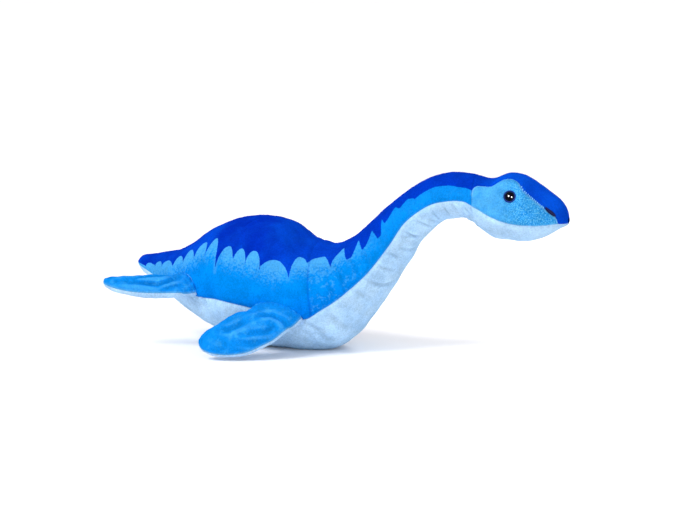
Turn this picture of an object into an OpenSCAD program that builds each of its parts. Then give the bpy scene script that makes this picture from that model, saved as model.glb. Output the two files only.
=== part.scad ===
// Stuffed long-necked marine reptile, a sewn plush toy that rests on its belly.
// Millimetres. +X points to the head, +Z is up, the belly rests on z = 0.
// Every fabric panel is a shell over the filling, cut along the toy's seams.

/* [Fabric] */
// Thickness of the plush, backing and pile together
skin = 2.4; // [1.8:0.2:2.8]
// Gap left at every seam, and between the fabric and the filling
seam_gap = 0.4; // [0.3:0.1:0.6]
// Girth of the body sideways, as a factor
girth = 1.0; // [0.95:0.01:1.05]

/* [Eyes] */
// Diameter of the glossy eye
eye_d = 10.5; // [9:0.5:12]
// Diameter of the eye's stem
stem_d = 3.2; // [2.8:0.2:4]
// Length of the eye's stem behind the fabric
stem_l = 9; // [8:0.5:12]
// Diameter of the washer that locks the stem
washer_d = 12; // [10:0.5:14]

/* [Flippers] */
// Thickness of the flippers, as a factor
flipper_fill = 1.0; // [0.9:0.05:1.1]

/* [Weight pouch] */
// Diameter of the pellet pouch in the belly
pouch_d = 48; // [40:2:52]
// Height of the pellet pouch
pouch_h = 14; // [10:1:16]

/* [Hidden] */
// Stations from the tail tip to the nose:
// x, z, tilt, radius up, radius down, half width, angle of the pale panel's seam
spine = [
    [-212, 73, 0, 2.5, 2.5, 2.5, 108],
    [-207, 72.5, 0, 8, 8, 8, 108],
    [-198, 70, 0, 12, 12, 12, 108],
    [-184, 66, 0, 18.5, 18, 18, 108],
    [-168, 63, 0, 25, 25, 27, 107],
    [-150, 60, 0, 38, 33, 38, 105],
    [-130, 57, 0, 54, 41, 47, 101],
    [-105, 54, 0, 68, 47, 54, 97],
    [-78, 52, 0, 73, 52.5, 57, 98],
    [-50, 51, 0, 71, 53, 57, 104],
    [-25, 51, 4, 57, 53, 54, 110],
    [-5, 53, 12, 51, 48, 50, 101],
    [12.5, 67.5, 28, 38.5, 38.5, 42, 104],
    [31.5, 86.5, 42, 30, 30, 33, 107],
    [50.5, 108.5, 47, 26, 25, 26, 104],
    [68, 128.5, 42, 22.5, 22, 23, 97],
    [89.5, 145, 24, 21.5, 21, 22, 99],
    [108, 151, 8, 22, 21.5, 22, 101],
    [124, 151.5, 0, 21.5, 21.5, 22, 101],
    [136, 147.5, 0, 24.5, 25, 24, 103],
    [150, 143, 0, 28, 29, 28, 105],
    [164, 143, 0, 32, 30.5, 30, 114],
    [177, 142, 0, 31, 30.5, 29, 117],
    [190, 140, 0, 26, 26, 25.5, 119],
    [201, 138, 0, 20.5, 19.5, 20.5, 121],
    [210, 136, 0, 16, 12, 15, 124],
    [216, 134, 0, 10, 7, 9, 132],
    [218.5, 132, 0, 3, 3, 3, 140]];

// Stations of the joints, and how far the fabric stops short of them
tail_joint = 4;
neck_joint = 12;
sway_joint = 14.5;
nod_joint = 18.5;
wide_cut = 0.5;
narrow_cut = 0.25;
nod_cut = 1;
// Station of the seam between the side panels of the body and of the neck
shoulder_seam = 10.5;
last_station = len(spine) - 1;
// Edge of the dark crown panel on the head, station and angle
crown_edge = [
    [19, 55], [20, 48], [21.25, 38], [22, 45], [23, 60], [24, 71], [25, 86], [25.25, 112]];
cheek_end = 25.25;
// Stations between the rows of a panel
row_step = 0.25;
side_columns = 10;
belly_columns = 10;
crown_columns = 8;
filling_columns = 24;
// Clearance between the filling of two bodies that turn in each other
ball_gap = 1.5;
ball_rows = 5;

// Place of the eyes on the head, and the pad behind the eye's dome
eye_station = 21.5;
eye_angle = 69;
eye_round = 68;
eye_lift = 0.5;
// Embroidered nostril, stations of its ends, angles of its ends, half width in degrees
nostril_stations = [24, 24.95];
nostril_angles = [68, 82];
nostril_half = 5;
thread = 0.8;
thread_gap = 0.15;

pouch_x = -62;
pouch_floor = 5.5;

// Flippers: middle of the root, direction of the root seam, normal of the upper side
front_root = [-40.5, -59.5, 40];
front_seam = [0.96, 0.12, -0.26];
front_up = [0.254, -0.783, 0.568];
rear_root = [-133.5, -50.5, 56];
rear_seam = [0.85, -0.36, -0.38];
rear_up = [0.148, -0.583, 0.799];
// Rows from root to tip: leading edge along and out, trailing edge along and out, half thickness
front_rows = [
    [19, 1, -20, 1, 1.2],
    [17, 8, -27, 7, 6],
    [12, 18, -34, 12, 8],
    [6, 29, -40, 17, 8.5],
    [-4, 39, -47, 24, 8],
    [-16, 46, -53, 31, 7],
    [-31, 51, -58, 38, 6],
    [-45, 53, -61, 44, 4.5],
    [-54, 52.5, -61, 48, 3],
    [-58, 51, -60.5, 49.5, 1.8]];
rear_rows = [
    [15, 1, -19, 1, 1.2],
    [9, 8, -27, 7, 5],
    [2, 15, -34, 14, 6.5],
    [-6, 23, -40, 21, 7],
    [-15, 31, -46, 27, 6.5],
    [-25, 40, -52, 33, 6],
    [-36, 49, -58, 40, 5.5],
    [-48, 56, -63, 46, 4.5],
    [-58, 59, -66, 52, 3],
    [-63, 58.5, -66, 56, 1.8]];
flipper_skin = 1.8;
filling_inset = 2.4;
flipper_columns = 8;
flipper_steps = 1;

dark_blue = "#0a46c8";
mid_blue = "#0a8ef0";
pale_blue = "#b4d6f4";
cheek_blue = "#4fb0f6";
filling_white = "#f4f4f0";

function lerp(a, b, t) = a + (b - a) * t;
function unit(v) = v / norm(v);
function flat(rows) = [for (r = rows) for (p = r) p];

// Smooth curve through the rows of a table at a fractional row number
function row_at(rows, s) =
    let (i = min(max(floor(s), 0), len(rows) - 2),
        t = s - i,
        p0 = rows[max(i - 1, 0)],
        p1 = rows[i],
        p2 = rows[i + 1],
        p3 = rows[min(i + 2, len(rows) - 1)])
    0.5 * (2 * p1 + (p2 - p0) * t + (2 * p0 - 5 * p1 + 4 * p2 - p3) * t * t
        + (3 * p1 - p0 - 3 * p2 + p3) * t * t * t);

// A radius after an inset, never less than a quarter of the full one
function shrunk(r, inset) = max(r - inset, r / 4);

// Point on the body at station s and angle a, 0 at the back and 90 at the right side
function skin_point(s, a, inset = 0) =
    let (st = row_at(spine, s),
        n = shrunk(cos(a) >= 0 ? st[3] : st[4], inset) * cos(a))
    [st[0] - sin(st[2]) * n, -shrunk(st[5] * girth, inset) * sin(a), st[1] + cos(st[2]) * n];

function spine_point(s) = let (st = row_at(spine, s)) [st[0], 0, st[1]];
function spine_tangent(s) = let (st = row_at(spine, s)) [cos(st[2]), 0, sin(st[2])];
function seam_angle(s) = row_at(spine, s)[6];
function crown_angle(s) = s > cheek_end ? seam_angle(s) : lookup(s, crown_edge);

// Closed shell between two grids of points, the first one outside
module shell_between(outer, inner) {
    n = len(outer);
    m = len(outer[0]);
    k = n * m;
    polyhedron(concat(flat(outer), flat(inner)), [
        for (i = [0:n - 2]) for (j = [0:m - 2]) let (o = i * m + j) each [
            [o, o + m, o + m + 1], [o, o + m + 1, o + 1],
            [k + o, k + o + m + 1, k + o + m], [k + o, k + o + 1, k + o + m + 1]],
        for (i = [0:n - 2]) let (o = i * m, e = o + m - 1) each [
            [o + m, o, k + o], [o + m, k + o, k + o + m],
            [e, e + m, k + e + m], [e, k + e + m, k + e]],
        for (j = [0:m - 2]) let (e = (n - 1) * m + j) each [
            [j, j + 1, k + j + 1], [j, k + j + 1, k + j],
            [e + 1, e, k + e], [e + 1, k + e, k + e + 1]]], convexity = 8);
}

// Closed solid through rings of points, with a pole at each end
module rings_solid(rings, first_pole, last_pole) {
    n = len(rings);
    m = len(rings[0]);
    k = n * m;
    polyhedron(concat(flat(rings), [first_pole, last_pole]), [
        for (i = [0:n - 2]) for (j = [0:m - 1])
            let (o = i * m + j, q = i * m + (j + 1) % m) each [
            [o, o + m, q + m], [o, q + m, q]],
        for (j = [0:m - 1]) let (q = (j + 1) % m, e = (n - 1) * m) each [
            [j, q, k], [e + q, e + j, k + 1]]], convexity = 8);
}

// Fabric panel between stations s0 and s1, and between two edges given as functions of station
module sewn_panel(s0, s1, from, to, columns, inset = 0, thick = skin, step = row_step) {
    rows = max(round((s1 - s0) / step), 1);
    grid = [for (i = [0:rows])
        let (s = lerp(s0, s1, i / rows),
            slack = seam_gap / 2 / shrunk(row_at(spine, s)[5], 0) * 180 / PI)
        [for (j = [0:columns]) [s, lerp(from(s) + slack, to(s) - slack, j / columns)]]];
    shell_between(
        [for (r = grid) [for (q = r) skin_point(q[0], q[1], inset)]],
        [for (r = grid) [for (q = r) skin_point(q[0], q[1], inset + thick)]]);
}

// Ring of the filling at station s
function filling_ring(s) = [for (j = [0:filling_columns - 1])
    skin_point(s, 360 * j / filling_columns, under_skin)];

// Rings of the rounded end of a filling: an ellipsoid about the spine at station s.
// side is 1 to bulge towards the head and -1 towards the tail, reach its half axis that way.
function ball_rings(s, side, reach, extra) =
    [for (b = [1:ball_rows - 1])
        let (beta = 90 * b / ball_rows,
            c = spine_point(s))
        [for (p = filling_ring(s))
            c + (p - c) * (1 + extra / norm(p - c)) * cos(beta)
                + side * (reach + extra) * sin(beta) * spine_tangent(s)]];
function ball_pole(s, side, reach, extra) =
    spine_point(s) + side * (reach + extra) * spine_tangent(s);
function backwards(list) = [for (i = [len(list) - 1:-1:0]) list[i]];
function tube_rings(s0, s1) = [for (i = [0:round((s1 - s0) / row_step)])
    filling_ring(s0 + i * row_step)];

// Depth of the filling below the outside of the fabric
under_skin = skin + 2 * seam_gap;
// Half axes of the rounded ends: the radius in the plane that each joint turns in
tail_reach = row_at(spine, tail_joint)[5] * girth - under_skin;
neck_reach = row_at(spine, neck_joint)[3] - under_skin;
sway_reach = row_at(spine, sway_joint)[5] * girth - under_skin;
nod_reach = row_at(spine, nod_joint)[3] - under_skin;

module above_floor(height) {
    difference() {
        children();
        translate([-250, -150, height - 50]) cube([500, 300, 50]);
    }
}

module left() mirror([0, 1, 0]) children();

// Edges shared by the panels
top_edge = function(s) 0;
pale_edge = function(s) seam_angle(s);
far_pale_edge = function(s) 360 - seam_angle(s);
crown_right = function(s) crown_angle(s);
crown_left = function(s) -crown_angle(s);

module tail_side() color(mid_blue) sewn_panel(0, tail_joint - wide_cut, top_edge, pale_edge, side_columns);
module tail_underside() color(pale_blue)
    sewn_panel(0, tail_joint - wide_cut, pale_edge, far_pale_edge, belly_columns);
module body_side() color(mid_blue)
    sewn_panel(tail_joint + wide_cut, shoulder_seam, top_edge, pale_edge, side_columns);
module neck_base() color(mid_blue)
    sewn_panel(shoulder_seam + 0.02, neck_joint - wide_cut, top_edge, pale_edge, side_columns);
module belly_panel() color(pale_blue) above_floor(0)
    sewn_panel(tail_joint + wide_cut, neck_joint - wide_cut, pale_edge, far_pale_edge, belly_columns);
module neck_lower_side() color(mid_blue)
    sewn_panel(neck_joint + wide_cut, sway_joint - narrow_cut, top_edge, pale_edge, side_columns);
module throat_lower() color(pale_blue)
    sewn_panel(neck_joint + wide_cut, sway_joint - narrow_cut, pale_edge, far_pale_edge, belly_columns);
module neck_upper_side() color(mid_blue)
    sewn_panel(sway_joint + narrow_cut, nod_joint - nod_cut, top_edge, pale_edge, side_columns);
module throat_upper() color(pale_blue)
    sewn_panel(sway_joint + narrow_cut, nod_joint - nod_cut, pale_edge, far_pale_edge, belly_columns);
module crown_panel() color(dark_blue)
    sewn_panel(nod_joint + wide_cut, last_station, crown_left, crown_right, crown_columns);
module jaw_panel() color(pale_blue)
    sewn_panel(nod_joint + wide_cut, last_station, pale_edge, far_pale_edge, belly_columns);
module cheek() color(cheek_blue) difference() {
    sewn_panel(nod_joint + wide_cut, cheek_end, crown_right, pale_edge, side_columns);
    at_eye() cylinder(d = stem_d + 2 * seam_gap, h = 40, center = true, $fn = 32);
}

// Fillings, each rounded at its joints so that the next one turns about it
module tail_filling() color(filling_white) rings_solid(
    concat(tube_rings(0.25, tail_joint), ball_rings(tail_joint, 1, tail_reach, 0)),
    spine_point(0.1), ball_pole(tail_joint, 1, tail_reach, 0));
module body_solid() rings_solid(
    concat(
        backwards(ball_rings(tail_joint, 1, tail_reach, ball_gap)),
        tube_rings(tail_joint + wide_cut, neck_joint - wide_cut),
        ball_rings(neck_joint, -1, neck_reach, ball_gap)),
    ball_pole(tail_joint, 1, tail_reach, ball_gap),
    ball_pole(neck_joint, -1, neck_reach, ball_gap));
module body_filling() color(filling_white) difference() {
    above_floor(under_skin) body_solid();
    translate([pouch_x, 0, 0]) cylinder(d = pouch_d + 2, h = pouch_floor + pouch_h + 1, $fn = 64);
}
module neck_lower_filling() color(filling_white) rings_solid(
    concat(
        backwards(ball_rings(neck_joint, -1, neck_reach, 0)),
        tube_rings(neck_joint, sway_joint - narrow_cut),
        ball_rings(sway_joint, -1, sway_reach, ball_gap)),
    ball_pole(neck_joint, -1, neck_reach, 0),
    ball_pole(sway_joint, -1, sway_reach, ball_gap));
module neck_upper_filling() color(filling_white) rings_solid(
    concat(
        backwards(ball_rings(sway_joint, -1, sway_reach, 0)),
        tube_rings(sway_joint, nod_joint - nod_cut),
        ball_rings(nod_joint, -1, nod_reach, ball_gap)),
    ball_pole(sway_joint, -1, sway_reach, 0),
    ball_pole(nod_joint, -1, nod_reach, ball_gap));
module head_filling() color(filling_white) difference() {
    rings_solid(
        concat(
            backwards(ball_rings(nod_joint, -1, nod_reach, 0)),
            tube_rings(nod_joint, last_station - row_step)),
        ball_pole(nod_joint, -1, nod_reach, 0), spine_point(last_station - 0.1));
    eye_pocket();
    left() eye_pocket();
}

// Pellet pouch: a flat round cushion with a rounded rim, just above the belly panel
module pellet_pouch() color("#c9c4b8") translate([pouch_x, 0, pouch_floor + pouch_h / 2])
    rotate_extrude($fn = 64) {
        translate([0, -pouch_h / 2]) square([pouch_d / 2 - pouch_h / 2, pouch_h]);
        translate([pouch_d / 2 - pouch_h / 2, 0]) circle(d = pouch_h, $fn = 32);
    }

// Eye: a domed button on a stem. Its local +Z points out of the head.
module at_eye() translate(skin_point(eye_station, eye_angle)) rotate([eye_round, 0, 0]) rotate([0, 0, 90])
    children();
module eye() color("#101018") at_eye() {
    translate([0, 0, eye_lift]) intersection() {
        translate([0, 0, -eye_d * 0.12]) sphere(d = eye_d, $fn = 48);
        cylinder(d = eye_d + 2, h = eye_d, $fn = 48);
    }
    translate([0, 0, -stem_l]) cylinder(d = stem_d, h = stem_l + 1, $fn = 32);
}
module eye_washer() color("#f0f0f0") at_eye() translate([0, 0, 2 - stem_l]) difference() {
    cylinder(d = washer_d, h = 1.6, $fn = 48);
    translate([0, 0, -1]) cylinder(d = stem_d + 0.1, h = 4, $fn = 32);
}
module eye_pocket() at_eye() {
    translate([0, 0, -stem_l - 1]) cylinder(d = stem_d + 2, h = 30, $fn = 32);
    translate([0, 0, 1.4 - stem_l]) cylinder(d = washer_d + 1.2, h = 30, $fn = 48);
}

// Satin-stitched nostril that lies across the seam of the crown and the cheek
nostril_mid = function(s) lerp(nostril_angles[0], nostril_angles[1],
    (s - nostril_stations[0]) / (nostril_stations[1] - nostril_stations[0]));
nostril_spread = function(s) let (
    t = 2 * (s - nostril_stations[0]) / (nostril_stations[1] - nostril_stations[0]) - 1)
    1 + nostril_half * sqrt(max(1 - t * t, 0));
module nostril() color("#060a3c") sewn_panel(nostril_stations[0], nostril_stations[1],
    function(s) nostril_mid(s) - nostril_spread(s),
    function(s) nostril_mid(s) + nostril_spread(s),
    4, -thread - thread_gap, thread, 0.1);

// Flippers: u runs along the root seam, v out of the body, h up from the middle plane
function flipper_point(root, seam, up, u, v, h) =
    let (along = unit(seam), normal = unit(up - (up * along) * along))
    root + u * along + v * cross(along, normal) + h * normal;
// Grid of one face. inset moves it into the flipper, side is 1 above and -1 below
function flipper_grid(root, seam, up, rows, side, inset, lift) =
    let (last = (len(rows) - 1) * flipper_steps)
    [for (i = [0:last])
        let (r = row_at(rows, i / flipper_steps),
            chord = norm([r[0] - r[2], r[1] - r[3]]),
            pull = min(inset / chord, 0.3),
            shift = i == 0 ? inset : (i == last ? -min(inset, 1) : 0))
        [for (j = [0:flipper_columns])
            let (t = lerp(pull, 1 - pull, j / flipper_columns),
                crown = pow(sin(180 * t), 0.7),
                h = max(r[4] * flipper_fill - inset, r[4] * 0.25) * crown + lift)
            flipper_point(root, seam, up,
                lerp(r[0], r[2], t), lerp(r[1], r[3], t) + shift, side * h)]];
module flipper_top(root, seam, up, rows) color(mid_blue) shell_between(
    flipper_grid(root, seam, up, rows, 1, 0, flipper_skin + seam_gap / 2),
    flipper_grid(root, seam, up, rows, 1, 0, seam_gap / 2));
module flipper_under(root, seam, up, rows) color(pale_blue) mirrored_shell(
    flipper_grid(root, seam, up, rows, -1, 0, flipper_skin + seam_gap / 2),
    flipper_grid(root, seam, up, rows, -1, 0, seam_gap / 2));
module mirrored_shell(outer, inner) shell_between(backwards(outer), backwards(inner));
// The filling lies between the two faces, thinner than they are by the gap
module flipper_filling(root, seam, up, rows) color(filling_white) {
    top = flipper_grid(root, seam, up, rows, 1, filling_inset, 0.1);
    under = flipper_grid(root, seam, up, rows, -1, filling_inset, 0.1);
    shell_between(top, under);
}

tail_side();  // tail_side_right
left() tail_side();  // tail_side_left
tail_underside();
body_side();  // body_side_right
left() body_side();  // body_side_left
belly_panel();
neck_base();  // neck_base_right
left() neck_base();  // neck_base_left
neck_lower_side();  // neck_lower_side_right
left() neck_lower_side();  // neck_lower_side_left
throat_lower();
neck_upper_side();  // neck_upper_side_right
left() neck_upper_side();  // neck_upper_side_left
throat_upper();
crown_panel();
cheek();  // cheek_right
left() cheek();  // cheek_left
jaw_panel();
tail_filling();
body_filling();
neck_lower_filling();
neck_upper_filling();
head_filling();
pellet_pouch();
eye();  // eye_right
left() eye();  // eye_left
eye_washer();  // eye_washer_right
left() eye_washer();  // eye_washer_left
nostril();  // nostril_right
left() nostril();  // nostril_left
flipper_top(front_root, front_seam, front_up, front_rows);  // front_flipper_top_right
flipper_under(front_root, front_seam, front_up, front_rows);  // front_flipper_under_right
flipper_filling(front_root, front_seam, front_up, front_rows);  // front_flipper_filling_right
left() flipper_top(front_root, front_seam, front_up, front_rows);  // front_flipper_top_left
left() flipper_under(front_root, front_seam, front_up, front_rows);  // front_flipper_under_left
left() flipper_filling(front_root, front_seam, front_up, front_rows);  // front_flipper_filling_left
flipper_top(rear_root, rear_seam, rear_up, rear_rows);  // rear_flipper_top_right
flipper_under(rear_root, rear_seam, rear_up, rear_rows);  // rear_flipper_under_right
flipper_filling(rear_root, rear_seam, rear_up, rear_rows);  // rear_flipper_filling_right
left() flipper_top(rear_root, rear_seam, rear_up, rear_rows);  // rear_flipper_top_left
left() flipper_under(rear_root, rear_seam, rear_up, rear_rows);  // rear_flipper_under_left
left() flipper_filling(rear_root, rear_seam, rear_up, rear_rows);  // rear_flipper_filling_left
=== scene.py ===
import math

import bpy
import numpy as np
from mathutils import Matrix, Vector


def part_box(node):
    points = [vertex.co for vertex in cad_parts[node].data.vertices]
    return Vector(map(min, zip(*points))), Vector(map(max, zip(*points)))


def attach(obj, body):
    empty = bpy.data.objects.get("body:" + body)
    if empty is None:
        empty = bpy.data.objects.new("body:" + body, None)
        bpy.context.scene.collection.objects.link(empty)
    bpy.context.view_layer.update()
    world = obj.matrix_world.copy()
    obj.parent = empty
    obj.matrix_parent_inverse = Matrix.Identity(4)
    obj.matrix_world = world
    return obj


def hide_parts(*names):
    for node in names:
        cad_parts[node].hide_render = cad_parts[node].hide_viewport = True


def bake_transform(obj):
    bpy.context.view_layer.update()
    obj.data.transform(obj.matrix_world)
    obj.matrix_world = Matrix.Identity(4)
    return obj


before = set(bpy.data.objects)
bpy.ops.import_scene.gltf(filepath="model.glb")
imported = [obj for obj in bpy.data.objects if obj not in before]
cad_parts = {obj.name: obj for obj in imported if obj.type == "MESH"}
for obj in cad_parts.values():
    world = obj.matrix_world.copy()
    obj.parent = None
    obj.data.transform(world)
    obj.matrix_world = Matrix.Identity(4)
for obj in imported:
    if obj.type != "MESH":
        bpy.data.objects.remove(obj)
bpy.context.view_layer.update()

MM = 0.001

# ------------------------------ the toy's own measures

# The body's stations from tail tip to nose, in millimetres and degrees, as in the CAD:
# x, z, tilt, radius up, radius down, half width, angle of the pale panel's seam
SPINE = np.array([
    [-212, 73, 0, 2.5, 2.5, 2.5, 108],
    [-207, 72.5, 0, 8, 8, 8, 108],
    [-198, 70, 0, 12, 12, 12, 108],
    [-184, 66, 0, 18.5, 18, 18, 108],
    [-168, 63, 0, 25, 25, 27, 107],
    [-150, 60, 0, 38, 33, 38, 105],
    [-130, 57, 0, 54, 41, 47, 101],
    [-105, 54, 0, 68, 47, 54, 97],
    [-78, 52, 0, 73, 52.5, 57, 98],
    [-50, 51, 0, 71, 53, 57, 104],
    [-25, 51, 4, 57, 53, 54, 110],
    [-5, 53, 12, 51, 48, 50, 101],
    [12.5, 67.5, 28, 38.5, 38.5, 42, 104],
    [31.5, 86.5, 42, 30, 30, 33, 107],
    [50.5, 108.5, 47, 26, 25, 26, 104],
    [68, 128.5, 42, 22.5, 22, 23, 97],
    [89.5, 145, 24, 21.5, 21, 22, 99],
    [108, 151, 8, 22, 21.5, 22, 101],
    [124, 151.5, 0, 21.5, 21.5, 22, 101],
    [136, 147.5, 0, 24.5, 25, 24, 103],
    [150, 143, 0, 28, 29, 28, 105],
    [164, 143, 0, 32, 30.5, 30, 114],
    [177, 142, 0, 31, 30.5, 29, 117],
    [190, 140, 0, 26, 26, 25.5, 119],
    [201, 138, 0, 20.5, 19.5, 20.5, 121],
    [210, 136, 0, 16, 12, 15, 124],
    [216, 134, 0, 10, 7, 9, 132],
    [218.5, 132, 0, 3, 3, 3, 140]], float)
LAST = len(SPINE) - 1

# Stations of the joints, of the seams that run round the body, and of the cuts in a panel
# where both sides follow one rigid part
TAIL_JOINT, NECK_JOINT, SWAY_JOINT, NOD_JOINT = 4, 12, 14.5, 18.5
SHOULDER_SEAM, HEAD_SEAM = 10.5, 18.7
BELLY_CUT, LOWER_CUT, UPPER_CUT = 9, 13.25, 16.75
# Edge between the dark crown and the cheek: station, angle from the top
CROWN_EDGE = np.array([
    [18.7, 76], [18.74, 64], [18.86, 55], [19.1, 48.5], [19.55, 44], [20.1, 42.5],
    [20.28, 38.5], [20.5, 35], [20.8, 33], [21.15, 32.5], [21.5, 33], [21.77, 35.5],
    [22.0, 40.5], [22.17, 48], [22.35, 53.5], [22.85, 58], [23.4, 65.5], [24, 73],
    [24.9, 87], [25.12, 98], [25.22, 123]])
CHEEK_END = 25.2
# Thickness of the body's cloth, and how far a sewn edge stands back from the middle of its seam
FABRIC, SEAM_SLACK = 1.6, 0.02
# How far the cloth of the body and of the flippers stays above the floor
CLEAR, FLIPPER_CLEAR = 0.05, 0.6

# Border of the dark back: the tips of its downward spikes, station and angle, each followed
# by the top of the light tongue that comes next to it
FLAMES = np.array([
    [1.9, 88, 2.3, 66], [2.75, 74, 3.05, 53], [3.3, 70, 3.75, 49], [4.2, 71, 4.55, 43],
    [4.9, 61, 5.3, 41], [5.62, 59, 6.1, 38], [6.26, 59, 6.6, 38], [6.8, 72, 7.24, 49],
    [7.48, 64, 7.77, 51], [7.95, 64, 8.24, 52], [8.5, 67, 9.1, 57], [9.62, 70, 10.02, 43],
    [10.38, 49, 11.5, 38], [11.88, 64.5, 12.68, 36], [12.62, 64.5, 13.34, 42],
    [13.23, 68, 13.9, 49], [13.89, 76, 14.38, 46], [14.4, 63.5, 15.0, 47],
    [15.13, 61, 15.46, 52], [15.66, 66, 16.5, 59], [17.6, 65.5, 18.4, 65.5],
    [18.9, 66, 19.4, 62]])

EYE = (21.47, 67.5)
NOSTRIL = ((24.02, 68.5), (24.95, 85.5))

# Flippers, set out like the CAD's: middle of the root, direction of the root seam, normal of the
# upper side, rows from root to tip with the leading and trailing edge along and out, and half
# thickness. The mouth is where a flipper is sewn to the body: its two ends along, how far they
# drop below the middle, and how far it arches above and below. out is the body's own outward
# direction there.
FLIPPERS = {
    "front": dict(
        root=(-40.5, -59.5, 40), seam=(0.96, 0.12, -0.26), up=(0.254, -0.783, 0.568),
        out=(0.0, -0.98, -0.17), mouth=(21, -27), drop=(-6.5, -7.5), arch=(8.6, 3),
        rows=[[21, 1, -22, 1, 6.5], [16.5, 8, -31, 7, 8], [11, 17, -38, 12, 9.5],
              [5, 28, -43, 17, 10], [-4, 38, -48, 24, 9.5], [-14, 47.5, -53, 31, 8.5],
              [-28, 55, -58, 37, 7.5], [-42, 58.5, -61, 43, 6], [-52, 58.5, -62, 48, 4.5],
              [-57.5, 56, -61.5, 51, 2.5], [-59.6, 53.6, -60.1, 53, 0.5]]),
    "rear": dict(
        root=(-133.5, -50.5, 56), seam=(0.85, -0.36, -0.38), up=(0.148, -0.583, 0.799),
        out=(-0.41, -0.91, 0.0), mouth=(3, -25), drop=(-6, -1.5), arch=(7.5, 4),
        rows=[[5, 2, -23, -3, 6], [0, 8, -31, 3, 7], [-6, 14, -37, 9, 8.5],
              [-13, 21, -43, 15, 9], [-22, 29, -48, 21, 8.5], [-32, 37, -54, 27, 8],
              [-43, 44, -61, 32.5, 7], [-54, 49, -67, 38, 6], [-64, 52, -72, 43, 4.5],
              [-70, 52, -74, 47, 2.5], [-72.3, 49.9, -72.9, 49.2, 0.5]])}
# Where the rim seams sit on a flipper's section, in degrees above its middle: leading, trailing
RIM_RISE = (14, 4)
FLIPPER_FABRIC = 1.4

# Outer radius of the eye's dome, how far it stands out, and the direction the right eye looks in
EYE_RADIUS, EYE_RISE, EYE_AXIS = 4.5, 3.4, (0.10, -0.93, 0.36)

# The camera: degrees round the toy and above the floor, metres away, the point it looks at, and
# the width in metres that it sees there
CAMERA_AZIMUTH, CAMERA_ELEVATION, CAMERA_DISTANCE = 20, 8, 2.0
CAMERA_TARGET, VIEW_WIDTH = (-0.004, 0, 0.091), 0.6404

# ------------------------------ curves and surfaces


def rows_at(table, place):
    """Smooth curve through the rows of a table, at fractional row numbers."""
    place = np.asarray(place, float)
    i = np.clip(np.floor(place).astype(int), 0, len(table) - 2)
    t = (place - i)[..., None]
    p0, p1 = table[np.maximum(i - 1, 0)], table[i]
    p2, p3 = table[i + 1], table[np.minimum(i + 2, len(table) - 1)]
    return 0.5 * (2 * p1 + (p2 - p0) * t + (2 * p0 - 5 * p1 + 4 * p2 - p3) * t**2
                  + (3 * p1 - p0 - 3 * p2 + p3) * t**3)


def body_point(s, a, inset=0.0):
    """Point of the body's skin at station s and angle a, in millimetres; a is 90 on the right."""
    row = rows_at(SPINE, s)
    radius = [np.maximum(row[..., k] - inset, row[..., k] / 4) for k in (3, 4, 5)]
    cosine, sine = np.cos(np.radians(a)), np.sin(np.radians(a))
    n = np.where(cosine >= 0, radius[0], radius[1]) * cosine
    tilt = np.radians(row[..., 2])
    return np.stack([row[..., 0] - np.sin(tilt) * n, -radius[2] * sine,
                     row[..., 1] + np.cos(tilt) * n], -1)


def girth_at(s):
    """Mean radius of the body at station s."""
    row = rows_at(SPINE, s)
    return (row[..., 3] + row[..., 4] + 2 * row[..., 5]) / 4


def degree_at(s):
    """Length of one degree round the body at station s, in millimetres."""
    return girth_at(s) * math.pi / 180


def on_one_side(a):
    """The angle from the top, 0 to 180, of a point on either side of the body."""
    return np.where(a > 180, 360 - a, np.abs(a))


STATION_TABLE = np.linspace(0, LAST, 541)
SPINE_LENGTH = np.concatenate([[0], np.cumsum(np.linalg.norm(
    np.diff(rows_at(SPINE, STATION_TABLE)[:, :2], axis=0), axis=1))])


def along(s):
    """Distance from the tail tip along the spine, in millimetres."""
    return np.interp(s, STATION_TABLE, SPINE_LENGTH)


def pale_angle(s):
    """Angle of the seam along the pale panels of the underside."""
    return rows_at(SPINE, s)[..., 6]


def crown_angle(s):
    """Angle of the edge of the dark crown."""
    s = np.asarray(s, float)
    return np.where(s > CROWN_EDGE[-1, 0], pale_angle(s),
                    np.minimum(np.interp(s, CROWN_EDGE[:, 0], CROWN_EDGE[:, 1]), pale_angle(s)))


def smoothstep(x, low=0.0, high=1.0):
    """Smooth rise from 0 at low to 1 at high."""
    t = np.clip((x - low) / (high - low), 0, 1)
    return t * t * (3 - 2 * t)


def bell(x, width):
    """Bell curve that is 1 at 0 and fades over about that width."""
    return np.exp(-(x / width)**2)


def unit_rows(vectors):
    """Vectors of length 1 from an array of vectors."""
    return vectors / np.maximum(np.linalg.norm(vectors, axis=-1, keepdims=True), 1e-12)


def wavy(points, seed, size):
    """Smooth random value from about -1 to 1 at each point, for lumps of about that size in mm."""
    rng = np.random.default_rng(seed)
    total = np.zeros(points.shape[:-1])
    for octave in range(9):
        direction = rng.normal(size=3)
        direction /= np.linalg.norm(direction)
        pitch = size * (0.7 + 0.09 * octave)
        total += np.sin(points @ direction * (2 * math.pi / pitch) + rng.uniform(0, 6.28))
    return total / 4


# ------------------------------ the dark back's border


def flame_border():
    """The border as a polyline in station and angle. Round tongues stand between narrow spikes;
    on the neck the tongues are pointed, lean over towards the tail and leave blunt spikes."""
    points = []
    for spike, following in zip(FLAMES[:-1], FLAMES[1:]):
        s0, a0, top_s, top_a = spike
        s1, a1 = following[:2]
        sharp = smoothstep(top_s, 12.4, 13.4) - 0.7 * smoothstep(top_s, 14.7, 15.4)
        for t in np.linspace(-1, 1, 49)[:-1]:
            end_s, end_a = (s0, a0) if t < 0 else (s1, a1)
            reach = abs(t)
            pointed = 1 - max(1 - 1.4 * reach, 0)**1.3
            down = (1 - sharp) * (1 - (1 - reach**2)**0.6) + sharp * pointed
            points.append((top_s + (end_s - top_s) * reach, top_a + (end_a - top_a) * down))
    return np.array(points)


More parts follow.
